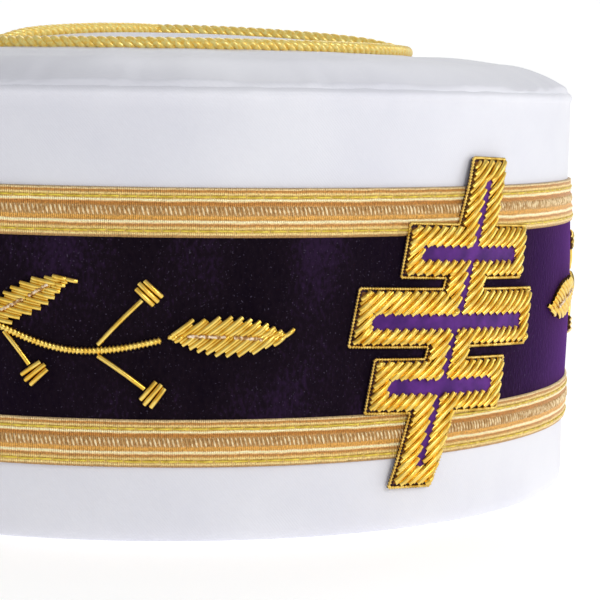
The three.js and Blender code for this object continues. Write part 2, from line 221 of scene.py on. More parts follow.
def ramp(tree, factor, stops):
    made = node(tree, "ShaderNodeValToRGB", {0: factor})
    band = made.color_ramp
    while len(band.elements) < len(stops):
        band.elements.new(0.5)
    for element, (position, colour) in zip(band.elements, stops):
        element.position = position
        element.color = (*colour, 1)
    return made.outputs["Color"]


def bumped(tree, shader, height, distance, strength=1.0):
    bump = node(tree, "ShaderNodeBump", {"Height": height, "Distance": distance, "Strength": strength})
    tree.links.new(bump.outputs[0], shader.inputs["Normal"])


def satin_finish(name, twill_distance):
    finish, tree, shader = new_finish(name, 0.4)
    grain = sum_of(tree, "ADD", sum_of(tree, "MULTIPLY", twill_distance(tree), 0.3), speckle(tree, 900, 3))
    shade = sum_of(tree, "ADD", sum_of(tree, "MULTIPLY", grain, 0.12), speckle(tree, 30, 3))
    colour = ramp(tree, shade, [(0.3, (0.74, 0.74, 0.81)), (0.75, (0.83, 0.83, 0.88))])
    tree.links.new(colour, shader.inputs["Base Color"])
    bumped(tree, shader, grain, 0.03 * mm, 0.7)
    shader.inputs["Specular IOR Level"].default_value = 0.45
    shader.inputs["Sheen Weight"].default_value = 0.15
    shader.inputs["Sheen Roughness"].default_value = 0.4
    return finish


twill_pitch = 0.6 * mm
twill_slope = 0.8


def wall_twill(tree):
    arc, height = round_the_wall(tree)
    sloped = sum_of(tree, "ADD", arc, sum_of(tree, "MULTIPLY", height, twill_slope))
    return ripple(tree, sloped, twill_pitch)


def around(vert):
    return Vector((vert.co.x, vert.co.y, 0)).normalized()


inside_radius = wall_radius - wall_thickness
roll_height = 2.6 * mm
hem_height = 5.0 * mm
hem_reach = 4.0 * mm
seam_reach = 6.0 * mm
pucker_depth = 0.3 * mm
wave_depth = 0.25 * mm
fine_steps = 400
hem = [(wall_radius - 0.5 * mm, 0), (wall_radius - 0.15 * mm, 0.5 * mm)]
face = [(wall_radius, height) for height in steps_between(2 * mm, wall_height - roll_height - 2 * mm, 40)]
roll = [(wall_radius + edge_proud * math.sin(math.pi * share) - wall_thickness * 0.4 * share ** 4,
         wall_height - roll_height * (1 - share)) for share in steps_between(0, 1, 9)]
turned_in = [(wall_radius - wall_thickness * 0.7, wall_height - 0.5 * mm),
             (inside_radius, wall_height - 0.8 * mm)]
inside = [(inside_radius, height) for height in steps_between(wall_height - 8 * mm, 6 * mm, 6)]
wall = spun(hem + face + roll + turned_in + inside + [(inside_radius, 0)], fine_steps)
for vert in wall.verts:
    outward = around(vert)
    near_top = max(0.0, 1 - (wall_height - vert.co.z) / seam_reach)
    near_hem = max(0.0, 1 - abs(vert.co.z - hem_height) / hem_reach)
    pucker = noise.noise(outward * 22) * pucker_depth
    wave = noise.noise(Vector((outward.x * 3, outward.y * 3, vert.co.z * 40))) * wave_depth
    if vert.co.z > 1 * mm:
        vert.co += outward * (pucker * (near_top + near_hem) + wave)
wall_satin = satin_finish("wall_satin", wall_twill)
add_piece("satin_side_wall", mesh_from(stretched(wall), "satin_side_wall"), wall_satin,
          ["side_wall"])

# Crown: a disc of the same satin over soft padding, a low dome on a rounded shoulder, gathered into
# the seam at its edge, so that small ruffles and a few soft wrinkles run in from the rim.
crown_edge = wall_radius - 0.8 * mm
crown_thickness = 2.4 * mm
shoulder_rise = 3.0 * mm
dome_rise = 9.0 * mm
ring_radius = 60.0 * mm
groove_depth = 1.2 * mm
groove_half_width = 8.0 * mm


def smooth_dome_height(radius):
    return wall_height + shoulder_rise + dome_rise * (1 - (radius / wall_radius) ** 2)


def dome_height(radius):
    from_groove = (radius - ring_radius) / groove_half_width
    return smooth_dome_height(radius) - groove_depth * math.exp(-(from_groove ** 2))


seam_height = wall_height - 0.7 * mm
edge_lift = 1.0 * mm
slope_width = 14.0 * mm
slope_edge = crown_edge + 0.5 * mm
slope_curve = 1.9
rim_round = 0.5 * mm
ruffle_reach = 9.0 * mm
fold_start = 45.0 * mm
fold_depth = 0.5 * mm
slack_depth = 0.3 * mm
slope_rise = dome_height(slope_edge - slope_width) - seam_height - edge_lift
slope = []
for share in steps_between(0.0, 1.0, 20):
    inward = share * share * slope_width
    lift = edge_lift * min(1.0, math.sqrt(inward / rim_round))
    lift += slope_rise * (1 - (1 - inward / slope_width) ** slope_curve)
    slope.append((slope_edge - inward, seam_height + lift))
over = [(radius, dome_height(radius)) for radius in steps_between(slope_edge - slope_width, 0, 40)][1:]
under_side = [(radius, smooth_dome_height(radius) - crown_thickness)
              for radius in steps_between(0, slope_edge - slope_width, 12)]
crown = spun(slope + over + under_side + [(inside_radius - 0.3 * mm, seam_height)], fine_steps)
for vert in crown.verts:
    radius = math.hypot(vert.co.x, vert.co.y)
    outward = around(vert)
    edge_share = max(0.0, 1 - (slope_edge - radius) / ruffle_reach)
    ruffle = (noise.noise(outward * 30) * 0.38 + noise.noise(outward * 70) * 0.2) * mm * edge_share
    toward_rim = max(0.0, min(1.0, (radius - fold_start) / fold_start))
    fold = noise.noise(Vector((outward.x * 9, outward.y * 9, radius * 12))) * fold_depth
    slack = noise.noise(Vector((vert.co.x * 30, vert.co.y * 30, 0))) * slack_depth
    if vert.co.z > wall_height + 0.3 * mm:
        vert.co.z += ruffle + fold * toward_rim + slack * toward_rim


def crown_twill(tree):
    split = node(tree, "ShaderNodeSeparateXYZ", {0: place_on_cap(tree)}).outputs
    across = sum_of(tree, "ADD", split["X"], sum_of(tree, "MULTIPLY", split["Y"], twill_slope))
    return ripple(tree, across, twill_pitch)


crown_satin = satin_finish("crown_satin", crown_twill)
add_piece("satin_crown", mesh_from(stretched(crown), "satin_crown"), crown_satin,
          ["crown_top"])

# Velvet band: a strip of deep purple velvet round the wall, its raw edges under the two laces.
# The pile is short and brushed, so it is nearly black face on and purple where it catches the light.
velvet_face = 0.35 * mm
velvet_bulge = 0.65 * mm
velvet_bottom = 20.5 * mm
velvet_top = 61.0 * mm
cloth_gap = 0.05 * mm


def velvet_proud(height):
    share = min(1, max(0, (height - velvet_bottom) / (velvet_top - velvet_bottom)))
    return velvet_face + velvet_bulge * math.sin(0.8 * math.pi * share)


velvet_side = [(wall_radius + velvet_proud(height), height)
               for height in steps_between(velvet_bottom, velvet_top, 24)]
velvet = spun([(wall_radius + cloth_gap, velvet_bottom)] + velvet_side
              + [(wall_radius + cloth_gap, velvet_top)])
velvet_purple, tree, shader = new_finish("velvet_purple", 0.9)
nap = speckle(tree, 70, 4, (1, 1, 0.45))
pile = speckle(tree, 1500, 2, (1, 1, 0.6))
brushed = sum_of(tree, "ADD", sum_of(tree, "MULTIPLY", nap, 0.62), sum_of(tree, "MULTIPLY", pile, 0.38))
pile_colour = ramp(tree, brushed, [(0.36, (0.003, 0.0015, 0.003)), (0.52, (0.007, 0.004, 0.006)),
                                   (0.66, (0.020, 0.009, 0.028))])
lint = ramp(tree, speckle(tree, 2600, 1), [(0.68, (0, 0, 0)), (0.80, (0.06, 0.05, 0.08))])
mixed = node(tree, "ShaderNodeMix", {0: 1.0, 6: pile_colour, 7: lint}, data_type="RGBA", blend_type="ADD")
tree.links.new(mixed.outputs[2], shader.inputs["Base Color"])
bumped(tree, shader, brushed, 0.3 * mm, 0.8)
shader.inputs["Specular IOR Level"].default_value = 0.06
shader.inputs["Sheen Weight"].default_value = 0.74
shader.inputs["Sheen Roughness"].default_value = 0.42
shader.inputs["Sheen Tint"].default_value = (0.30, 0.07, 0.58, 1)
add_piece("purple_velvet_band", mesh_from(stretched(velvet), "purple_velvet_band"), velvet_purple,
          ["velvet_band"])

# Laces: two flat gold laces with ribs along them and a twilled middle, woven with metal thread.
# Each is machine sewn near both edges with yellow thread, over the satin and the velvet's raw edge.
upper_lace_top = 67.4 * mm
upper_lace_width = 9.4 * mm
lower_lace_top = 23.5 * mm
lower_lace_width = 9.2 * mm
lace_steps = 44
lace_over_satin = 0.7 * mm
lace_over_velvet = 0.4 * mm
lace_edge_round = 0.45 * mm

# Each rib is its middle as a share of the lace's width, its height in mm and its half width.
lace_ribs = [(0.035, 0.10, 0.025), (0.13, 0.12, 0.03), (0.247, 0.26, 0.032), (0.465, 0.22, 0.09),
             (0.68, 0.26, 0.032), (0.81, 0.14, 0.03), (0.93, 0.12, 0.03)]

# Each band of the weave is its place as a share of the lace's width from the top, and its colour.
# The bands are the weave's gold and brown colours with painted light on them: painted highlight along the
# top of each narrow rib and painted shade in the grooves beside them; the ramp is also darker at both
# edges.
lace_bands_with_painted_rib_light = [(0.00, (0.36, 0.24, 0.12)), (0.035, (0.74, 0.56, 0.28)), (0.06, (0.40, 0.17, 0.03)),
               (0.095, (0.46, 0.23, 0.06)), (0.125, (0.78, 0.58, 0.24)), (0.155, (0.55, 0.36, 0.10)),
               (0.22, (0.60, 0.42, 0.14)), (0.245, (0.93, 0.80, 0.50)), (0.27, (0.82, 0.62, 0.30)),
               (0.295, (0.40, 0.16, 0.03)), (0.345, (0.42, 0.18, 0.035)), (0.38, (0.46, 0.27, 0.10)),
               (0.55, (0.46, 0.26, 0.09)), (0.58, (0.62, 0.32, 0.07)), (0.64, (0.58, 0.29, 0.06)),
               (0.67, (0.92, 0.77, 0.46)), (0.70, (0.88, 0.70, 0.38)), (0.735, (0.42, 0.18, 0.04)),
               (0.77, (0.48, 0.24, 0.06)), (0.81, (0.76, 0.56, 0.22)), (0.84, (0.55, 0.36, 0.10)),
               (0.90, (0.60, 0.40, 0.13)), (0.925, (0.80, 0.60, 0.26)), (0.955, (0.42, 0.24, 0.08)),
               (1.00, (0.36, 0.20, 0.07))]
weft_pitch = 0.38 * mm
stitch_lines = (0.188, 0.868)
stitch_pitch = 3.4 * mm
stitch_radius = 0.19 * mm
stitch_bow = ((0.0, -0.16, 0.7), (0.12, 0.08, 1.0), (0.5, 0.14, 1.0), (0.86, 0.08, 1.0), (0.97, -0.16, 0.7))
twill_middle = 0.465
twill_stroke = 0.86 * mm
twill_stroke_length = 1.75 * mm
twill_stroke_radius = 0.24 * mm
twill_lean = math.radians(17)


def on_wall(arc, height, proud):
    angle = arc / wall_radius
    radius = wall_radius + proud
    return Vector((oval.x * radius * math.sin(angle), -oval.y * radius * math.cos(angle), height))


def lace_rise(share):
    return sum(height * mm * math.exp(-((share - middle) / half) ** 2)
               for middle, height, half in lace_ribs)


def lace_finish(name, top, width):
    finish, tree, shader = new_finish(name, 0.36, 0.5)
    arc, height = round_the_wall(tree)
    waver = sum_of(tree, "MULTIPLY", sum_of(tree, "SUBTRACT", speckle(tree, 240, 2), 0.5), 0.4 * mm)
    down = sum_of(tree, "SUBTRACT", top, sum_of(tree, "ADD", height, waver))
    share = sum_of(tree, "DIVIDE", down, width)
    weft = ripple(tree, arc, weft_pitch)
    glint = speckle(tree, 2600, 1)
    light = sum_of(tree, "ADD", sum_of(tree, "MULTIPLY", weft, 0.16), sum_of(tree, "MULTIPLY", glint, 1.5))
    value = sum_of(tree, "ADD", light, 0.68)
    # The ramp paints the rib tops lighter and the grooves beside them darker: painted highlight and painted
    # shade over the weave's colours.
    shade = ramp(tree, share, lace_bands_with_painted_rib_light)
    shaded = node(tree, "ShaderNodeHueSaturation", {"Color": shade, "Value": value})
    tree.links.new(shaded.outputs[0], shader.inputs["Base Color"])
    rough = sum_of(tree, "ADD", weft, sum_of(tree, "MULTIPLY", glint, 1.8))
    bumped(tree, shader, rough, 0.08 * mm, 0.9)
    return finish


def many_tubes(name, paths, radius, resolution=2, cyclic=False):
    curve = bpy.data.curves.new(name, "CURVE")
    curve.dimensions = "3D"
    curve.bevel_depth = radius
    curve.bevel_resolution = resolution
    curve.use_fill_caps = True
    for path in paths:
        spline = curve.splines.new("POLY")
        spline.points.add(len(path) - 1)
        spline.points.foreach_set("co", [number for where, girth in path for number in (*where, 1)])
        spline.points.foreach_set("radius", [girth for where, girth in path])
        spline.use_cyclic_u = cyclic
    holder = bpy.data.objects.new(name, curve)
    mesh = bpy.data.meshes.new_from_object(holder)
    bpy.data.objects.remove(holder)
    bpy.data.curves.remove(curve)
    return mesh


def tinted(tree, shader, scale, detail, stops):
    tree.links.new(ramp(tree, speckle(tree, scale, detail), stops), shader.inputs["Base Color"])


yellow_thread, tree, shader = new_finish("yellow_thread", 0.45)
tinted(tree, shader, 700, 1, [(0.35, (0.62, 0.42, 0.02)), (0.65, (0.90, 0.70, 0.08))])
shader.inputs["Sheen Weight"].default_value = 0.1
twill_thread, tree, shader = new_finish("twill_thread", 0.35, 0.3)
tinted(tree, shader, 900, 2, [(0.38, (0.55, 0.33, 0.12)), (0.62, (0.98, 0.80, 0.48))])


def lace(name, cad_node, top, width, velvet_above):
    def lap_over_velvet(share):
        toward_velvet = 1 - share if velvet_above else share
        lap = min(1.0, max(0.0, (toward_velvet - 0.45) / 0.25))
        return lap * lap * (3 - 2 * lap)

    def face(share):
        over_velvet = velvet_proud(top - width * share) + lace_over_velvet
        return lace_over_satin + (over_velvet - lace_over_satin) * lap_over_velvet(share) + lace_rise(share)

    def back(share):
        return cloth_gap + velvet_proud(top - width * share) * lap_over_velvet(share)

    front = []
    for share in steps_between(1, 0, lace_steps):
        edge = lace_edge_round if share in (0, 1) else 0
        front.append((wall_radius + face(share) - edge, top - width * share))
    rear = [(wall_radius + back(share), top - width * share) for share in steps_between(0, 1, 10)]
    add_piece(name, mesh_from(stretched(spun(front + rear)), name),
              lace_finish(name + "_weave", top, width), [cad_node])

    round_length = 2 * math.pi * wall_radius
    count = round(round_length / stitch_pitch)
    paths = []
    for share in stitch_lines:
        for i in range(count):
            start = round_length * (i / count - 0.5) + (0 if share < 0.5 else stitch_pitch / 3)
            height = top - width * share + noise.noise(Vector((i * 3.1, share, 0))) * 0.14 * mm
            paths.append([(on_wall(start + stitch_pitch * part, height, face(share) + lift * mm), girth)
                          for part, lift, girth in stitch_bow])
    add_piece(name + "_stitches", many_tubes(name + "_stitches", paths, stitch_radius, 1),
              yellow_thread)

    strokes = []
    count = round(round_length / twill_stroke)
    for i in range(count):
        arc = round_length * (i / count - 0.5)
        half = twill_stroke_length / 2 * (1 + 0.14 * noise.noise(Vector((i * 1.7, 0, 0))))
        strokes.append([(on_wall(arc - half * step * math.sin(twill_lean),
                                 top - width * twill_middle + half * step * math.cos(twill_lean),
                                 face(twill_middle) + (0.05 - 0.12 * step * step) * mm),
                         1 - 0.55 * step * step) for step in (-1, -0.5, 0, 0.5, 1)])
    add_piece(name + "_twill", many_tubes(name + "_twill", strokes, twill_stroke_radius, 1),
              twill_thread)


lace("upper_gold_lace", "upper_lace", upper_lace_top, upper_lace_width, False)
lace("lower_gold_lace", "lower_lace", lower_lace_top, lower_lace_width, True)

# Cross: a leaning stem with three bars, worked in short lengths of gold coil laid side by side over
# padding, with a purple satin core left open down the middle and a beaded wire couched round the edge.
cross_bottom = 8.2 * mm
cross_top = 73.2 * mm
cross_middle = 41.0 * mm
cross_shift = 0.6 * mm
cross_lean = 0.326
stem_straight = 38.0 * mm
stem_end_bend = 0.4 * mm
bar_end_lean = 0.2
bar_drop = 0.045
stem_width = 12.1 * mm
stem_end_width = 11.0 * mm
core_width = 1.7 * mm
core_depth = 3.1 * mm
core_end_inset = 4.2 * mm
cross_bars = [
    {"height": 28.25 * mm, "depth": 11.2 * mm, "length": 36.2 * mm,
     "shift": 0.8 * mm, "core_drop": 0.15 * mm},
    {"height": 41.45 * mm, "depth": 12.0 * mm, "length": 50.2 * mm,
     "shift": -0.2 * mm, "core_drop": 0.8 * mm},
    {"height": 54.45 * mm, "depth": 11.2 * mm, "length": 36.2 * mm,
     "shift": 0.0, "core_drop": 0.5 * mm},
]
worked_face = 1.1 * mm
end_drop = 0.45 * mm
end_drop_run = 6.0 * mm
end_bend_run = 13.5 * mm
ground_inset = 0.3 * mm
padding_inset = 1.1 * mm
core_satin_spread = 0.5 * mm
chips_inset = 0.95 * mm
chips_over_core = 0.15 * mm
chip_radius = 0.5 * mm
chip_seat = 0.92 * mm
chip_arch = 0.42 * mm
low_chip_radius = 0.42 * mm
low_chip_seat = 0.58 * mm
low_chip_arch = 0.2 * mm
low_chip_trim = 0.2 * mm
chip_spacing = 1.4 * mm
chip_gap = 0.06 * mm
chip_shake = 0.22 * mm
chip_bend = 0.2 * mm
chip_slope = math.radians(38)
chip_rows_reach = 84.0 * mm
shortest_chip = 0.9 * mm
longest_chip = 7.2 * mm


def under(height):
    past_edge = max(lower_lace_top - lower_lace_width - height, height - upper_lace_top)
    share = min(1.0, max(0.0, past_edge / end_drop_run))
    return worked_face - end_drop * share * share * (3 - 2 * share)


def stem_middle(height):
    bend = max(0.0, (abs(height - cross_middle) - stem_straight / 2) / end_bend_run)
    return cross_shift + cross_lean * (height - cross_middle) - stem_end_bend * bend


def cross_outline(half_at_bars, half_at_ends, end_inset, bars):
    def side(sign):
        def stem_corner(offset, height):
            return (stem_middle(height) + sign * offset, height - bar_drop * sign * offset)

        def bar_corner(bar, offset, height):
            middle = stem_middle(bar["height"]) + bar["shift"] + bar_end_lean * (height - bar["height"])
            return (middle + sign * offset, height - bar_drop * sign * offset)

        points = [stem_corner(half_at_ends, cross_bottom + end_inset)]
        for bar, half_length, half_depth, drop in bars:
            low = bar["height"] - half_depth - drop
            high = bar["height"] + half_depth - drop
            points += [stem_corner(half_at_bars, low), bar_corner(bar, half_length, low),
                       bar_corner(bar, half_length, high), stem_corner(half_at_bars, high)]
        return points + [stem_corner(half_at_ends, cross_top - end_inset)]

    return side(1) + side(-1)[::-1]


def gold_outline(inset):
    bars = [(bar, bar["length"] / 2 - inset, bar["depth"] / 2 - inset, 0) for bar in cross_bars]
    return cross_outline(stem_width / 2 - inset, stem_end_width / 2 - inset, inset, bars)


def core_outline(spread):
    bars = [(bar, bar["length"] / 2 - core_end_inset + spread, core_depth / 2 + spread, bar["core_drop"])
            for bar in cross_bars]
    return cross_outline(core_width / 2 + spread, core_width / 2 + spread, core_end_inset - spread, bars)


def plate_on_wall(outline, inner, outer, strip=1.6 * mm):
    bm = bmesh.new()
    bm.faces.new([bm.verts.new((arc, height, 0)) for arc, height in outline])
    for along, cut in ((0, Vector((1, 0, 0))), (1, Vector((0, 1, 0)))):
        low = min(point[along] for point in outline)
        high = max(point[along] for point in outline)
        for place_of_cut in steps_between(low, high, math.ceil((high - low) / strip))[1:-1]:
            bmesh.ops.bisect_plane(bm, geom=bm.verts[:] + bm.edges[:] + bm.faces[:], dist=1e-7,
                                   plane_co=cut * place_of_cut, plane_no=cut)
    bmesh.ops.triangulate(bm, faces=bm.faces)
    base = bmesh.ops.extrude_face_region(bm, geom=bm.faces[:])["geom"]
    raised = {part for part in base if isinstance(part, bmesh.types.BMVert)}
    for vert in bm.verts:
        vert.co = on_wall(vert.co.x, vert.co.y, under(vert.co.y) + (outer if vert in raised else inner))
    bmesh.ops.recalc_face_normals(bm, faces=bm.faces)
    return bm


def runs_between(loops, slope, offset):
    along = Vector((math.cos(slope), math.sin(slope)))
    across = Vector((-along.y, along.x))
    crossings = []
    for loop in loops:
        for start, end in zip(loop, loop[1:] + loop[:1]):
            first = Vector(start).dot(across) - offset
            second = Vector(end).dot(across) - offset
            if (first < 0) != (second < 0):
                share = first / (first - second)
                crossings.append((Vector(start) + (Vector(end) - Vector(start)) * share).dot(along))
    crossings.sort()
    origin = across * offset
    pairs = zip(crossings[::2], crossings[1::2])
    return [(origin + along * start, origin + along * end) for start, end in pairs]


def chip_path(start, end, seat, arch, bend=0.0, girth=1.0):
    span = end - start
    sideways = Vector((-span.y, span.x)).normalized()
    path = []
    for share in steps_between(0, 1, 6):
        point = start + span * share + sideways * bend * math.sin(2 * math.pi * share)
        lift = arch * math.sin(math.pi * min(1, max(0, share))) ** 0.7
        path.append((on_wall(point.x, point.y, under(point.y) + seat + lift), girth))
    return path


def gold_finish(name, light, deep, roughness):
    finish, tree, shader = new_finish(name, roughness, 1.0)
    tone = speckle(tree, 420, 2)
    tree.links.new(ramp(tree, tone, [(0.34, deep), (0.6, light)]), shader.inputs["Base Color"])
    bumped(tree, shader, speckle(tree, 5200, 2), 0.03 * mm, 0.7)
    return finish


bright_gold = gold_finish("bright_gold_coil", (0.95, 0.70, 0.17), (0.84, 0.52, 0.07), 0.28)
beaded_gold = gold_finish("beaded_gold_wire", (0.92, 0.66, 0.18), (0.55, 0.33, 0.05), 0.3)
# Painted shade: the padding that shows between the coils is coloured a dark orange-brown to stand for the
# shadow between them.
padding_painted_shade, tree, shader = new_finish("padding_thread_painted_shade", 0.7)
tinted(tree, shader, 900, 2, [(0.35, (0.10, 0.030, 0.006)), (0.65, (0.30, 0.115, 0.012))])
ground_cloth, tree, shader = new_finish("cross_ground_cloth", 0.85)
tinted(tree, shader, 900, 2, [(0.35, (0.016, 0.006, 0.024)), (0.65, (0.075, 0.030, 0.06))])
ground_plate = plate_on_wall(gold_outline(ground_inset), -0.1 * mm, 0.3 * mm)
add_piece("cross_ground_cloth", mesh_from(ground_plate, "cross_ground_cloth"), ground_cloth,
          ["cross_ground"])
padding_plate = plate_on_wall(gold_outline(padding_inset), 0.1 * mm, 0.6 * mm)
add_piece("cross_padding_painted_shade", mesh_from(padding_plate, "cross_padding_painted_shade"), padding_painted_shade)

core_satin, tree, shader = new_finish("core_satin", 0.45)
tinted(tree, shader, 260, 3, [(0.35, (0.060, 0.012, 0.135)), (0.65, (0.12, 0.024, 0.24))])
bumped(tree, shader, speckle(tree, 1500, 2, (0.3, 0.3, 1)), 0.08 * mm, 0.6)
shader.inputs["Specular IOR Level"].default_value = 0.12
shader.inputs["Sheen Weight"].default_value = 0.06
shader.inputs["Sheen Tint"].default_value = (0.5, 0.3, 0.9, 1)
core_plate = plate_on_wall(core_outline(core_satin_spread), 0.5 * mm, 0.95 * mm)
add_piece("cross_core_satin", mesh_from(core_plate, "cross_core_satin"), core_satin,
          ["cross_core"])

chips = []
region = [gold_outline(chips_inset), core_outline(-chips_over_core)]
row_count = 2 * round(2 * chip_rows_reach / chip_spacing)
for row, offset in enumerate(steps_between(-chip_rows_reach, chip_rows_reach, row_count)):
    raised_row = row % 2 == 0
    trim = 0.0 if raised_row else low_chip_trim
    for start, end in runs_between(region, chip_slope, offset):
        length = (end - start).length
        if length < shortest_chip:
            continue
        along = (end - start) / length
        parts = max(1, round(length / longest_chip))
        for part in range(parts):
            shake = chip_shake * noise.noise(Vector((row * 2.3, part * 5.1, length * 900)))
            first = start + along * (length * part / parts + chip_gap + shake + trim)
            last = start + along * (length * (part + 1) / parts - chip_gap + shake - trim)
            bend = chip_bend * noise.noise(Vector((row * 1.9, part * 3.7, 4.0)))
            if raised_row:
                chips.append(chip_path(first, last, chip_seat, chip_arch, bend))
            else:
                chips.append(chip_path(first, last, low_chip_seat, low_chip_arch, bend,
                                       low_chip_radius / chip_radius))
add_piece("cross_gold_chips", many_tubes("cross_gold_chips", chips, chip_radius), bright_gold,
          ["cross_bullion"])

edging_inset = 0.4 * mm
bead_radius = 0.42 * mm
bead_waist = 0.62
bead_pitch = 0.62 * mm
edging_seat = 0.42 * mm


def beaded_path(points, waist, pitch, proud):
    path = []
    for start, end in zip(points, points[1:]):
        start, end = Vector(start), Vector(end)
        beads = max(1, round((end - start).length / pitch))
        for i in range(beads * 4):
            share = i / (beads * 4)
            point = start + (end - start) * share
            swell = 1 - waist * (0.5 + 0.5 * math.cos(2 * math.pi * share * beads))
            path.append((on_wall(point.x, point.y, under(point.y) + proud), swell))
    last = Vector(points[-1])
    path.append((on_wall(last.x, last.y, under(last.y) + proud), 1 - waist))
    return path


edge_line = gold_outline(edging_inset)
edging = [beaded_path(edge_line + edge_line[:1], bead_waist, bead_pitch, edging_seat)]
add_piece("cross_beaded_edging", many_tubes("cross_beaded_edging", edging, bead_radius), beaded_gold,
          ["cross_edging"])

# Leaf sprays: one on each side of the cross, sewn to the velvet. A ringed coil is the waving stem,
# short slanted coils on both sides of a pale beaded midrib make each leaf, and straight coils are the
# stalks of the berries, which have three coils each.
spray_start = 61.8 * mm
spray_first_dip = 76.5 * mm
spray_back_gap = 42.2 * mm
spray_swing = 4.3 * mm
first_swing = 0.6
spray_units = 6
spray_tail = 19.0 * mm
spray_waves_run = math.pi * wall_radius - spray_first_dip - spray_tail - spray_back_gap
spray_half_wave = spray_waves_run / (spray_units - 1)
band_middle = (lower_lace_top + upper_lace_top - upper_lace_width) / 2
pile_depth = -0.35 * mm
stem_radius = 0.84 * mm
stem_seat = 0.55 * mm
ring_pitch = 0.76 * mm
ring_waist = 0.42
tip_leaf_base = 60.1 * mm
tip_leaf_tip = 38.2 * mm
tip_leaf_half = 3.7 * mm
side_leaf_half = 3.05 * mm
leaf_chip_radius = 0.47 * mm
leaf_chip_seat = 0.8 * mm
leaf_chip_arch = 0.35 * mm
leaf_chip_pitch = 2.15 * mm
leaf_chip_least = {"foot": 3.0 * mm, "foot_other_side": 0.2 * mm, "middle": 0.8 * mm, "tip": 1.2 * mm}
low_leaf_chip_seat = 0.45 * mm
low_leaf_chip_arch = 0.25 * mm
low_leaf_chip_least = 0.6 * mm
leaf_slant = math.radians(38)
midrib_radius = 0.42 * mm
midrib_seat = 1.2 * mm
midrib_waist = 0.3
midrib_pitch = 0.8 * mm
midrib_droop = 1.1 * mm
side_leaf = {"base": 18.5 * mm, "tip": 2.9 * mm, "base_rise": 1.5 * mm, "tip_rise": 9.3 * mm}
sprigs = [
    {"foot": -1.8 * mm, "reach": 10.6 * mm, "rise": 6.8 * mm},
    {"foot": -1.6 * mm, "reach": 11.6 * mm, "rise": -12.4 * mm},
    {"foot": 16.2 * mm, "reach": 7.2 * mm, "rise": -8.7 * mm},
]
stalk_start_gap = 1.6 * mm
stalk_end_gap = 1.9 * mm
berry_chip = 4.9 * mm
berry_chip_radius = 0.5 * mm
berry_seat = 0.4 * mm
berry_arch = 0.35 * mm
berry_spacing = 1.12 * mm

# Each spray is its name, its side of the cross, the way its stem waves first, how far the tip leaf lies
# under the band's middle, how far it leans down, and the share of their length that its first stalks have.
sprays = [
    ("left_spray", -1, 1, 1.2 * mm, 0.2 * mm, 1.0),
    ("right_spray", 1, -1, -3.0 * mm, 3.4 * mm, 0.25),
]


def stem_rise(arc):
    swing = 1 - math.cos(math.pi * (arc - spray_first_dip) / spray_half_wave)
    return spray_swing * (swing * (first_swing if arc < spray_first_dip else 1) - 1)


def leaf_half_width(share, half):
    return half * math.sin(math.pi * min(1, max(0, share))) ** 0.75


def leaf_stroke(leaf, foot, side, least):
    base, tip, half, turn = leaf
    along = tip - base
    length = along.length
    along = along / length
    across = Vector((-along.y, along.x))
    run = side * turn / math.tan(leaf_slant)
    reach = max([out for out in steps_between(0, half * 1.1, 44)
                 if out <= leaf_half_width(foot + run * out / length, half)] + [least])
    start = base + along * length * foot + (across * side + along * run) * 0.1 * mm
    return start, start + (along * run + across * side) * reach


def leaf_chips(leaf):
    base, tip, half, turn = leaf
    count = round((tip - base).length / leaf_chip_pitch)
    paths = []
    for i in range(count + 1):
        for side in (1, -1):
            where = "middle"
            if i == 0:
                where = "foot" if side == turn else "foot_other_side"
            if i == count:
                where = "tip"
            start, end = leaf_stroke(leaf, (i + 0.1) / (count + 0.2), side, leaf_chip_least[where])
            paths.append(chip_path(start, end, pile_depth + leaf_chip_seat, leaf_chip_arch))
            if i < count:
                start, end = leaf_stroke(leaf, (i + 0.6) / (count + 0.2), side, low_leaf_chip_least)
                end = start + (end - start) * 0.8
                paths.append(chip_path(start, end, pile_depth + low_leaf_chip_seat, low_leaf_chip_arch))
    return paths


def leaf_padding(leaf):
    base, tip, half, turn = leaf
    along = tip - base
    across = Vector((-along.y, along.x)).normalized()
    shares = steps_between(0.06, 0.94, 12)
    edge = [base + along * share + across * leaf_half_width(share, half) * 0.6 for share in shares]
    other = [base + along * share - across * leaf_half_width(share, half) * 0.6
             for share in shares[::-1]]
    return plate_on_wall([tuple(point) for point in edge + other],
                         pile_depth - 0.5 * mm, pile_depth + 0.5 * mm)


def midrib_paths(leaf):
    base, tip, half, turn = leaf
    along = tip - base
    down = Vector((along.y, -along.x)).normalized() * turn

    def at(share):
        return tuple(base + along * share + down * midrib_droop * share ** 3)

    return [beaded_path([at(start), at((start + end) / 2), at(end)], midrib_waist, midrib_pitch,
                        pile_depth + midrib_seat) for start, end in ((0.14, 0.47), (0.54, 0.79))]


pale_check, tree, shader = new_finish("pale_check_thread", 0.4, 0.4)
tinted(tree, shader, 1300, 1, [(0.42, (0.38, 0.19, 0.06)), (0.5, (0.72, 0.48, 0.22)),
                               (0.60, (0.92, 0.76, 0.58))])

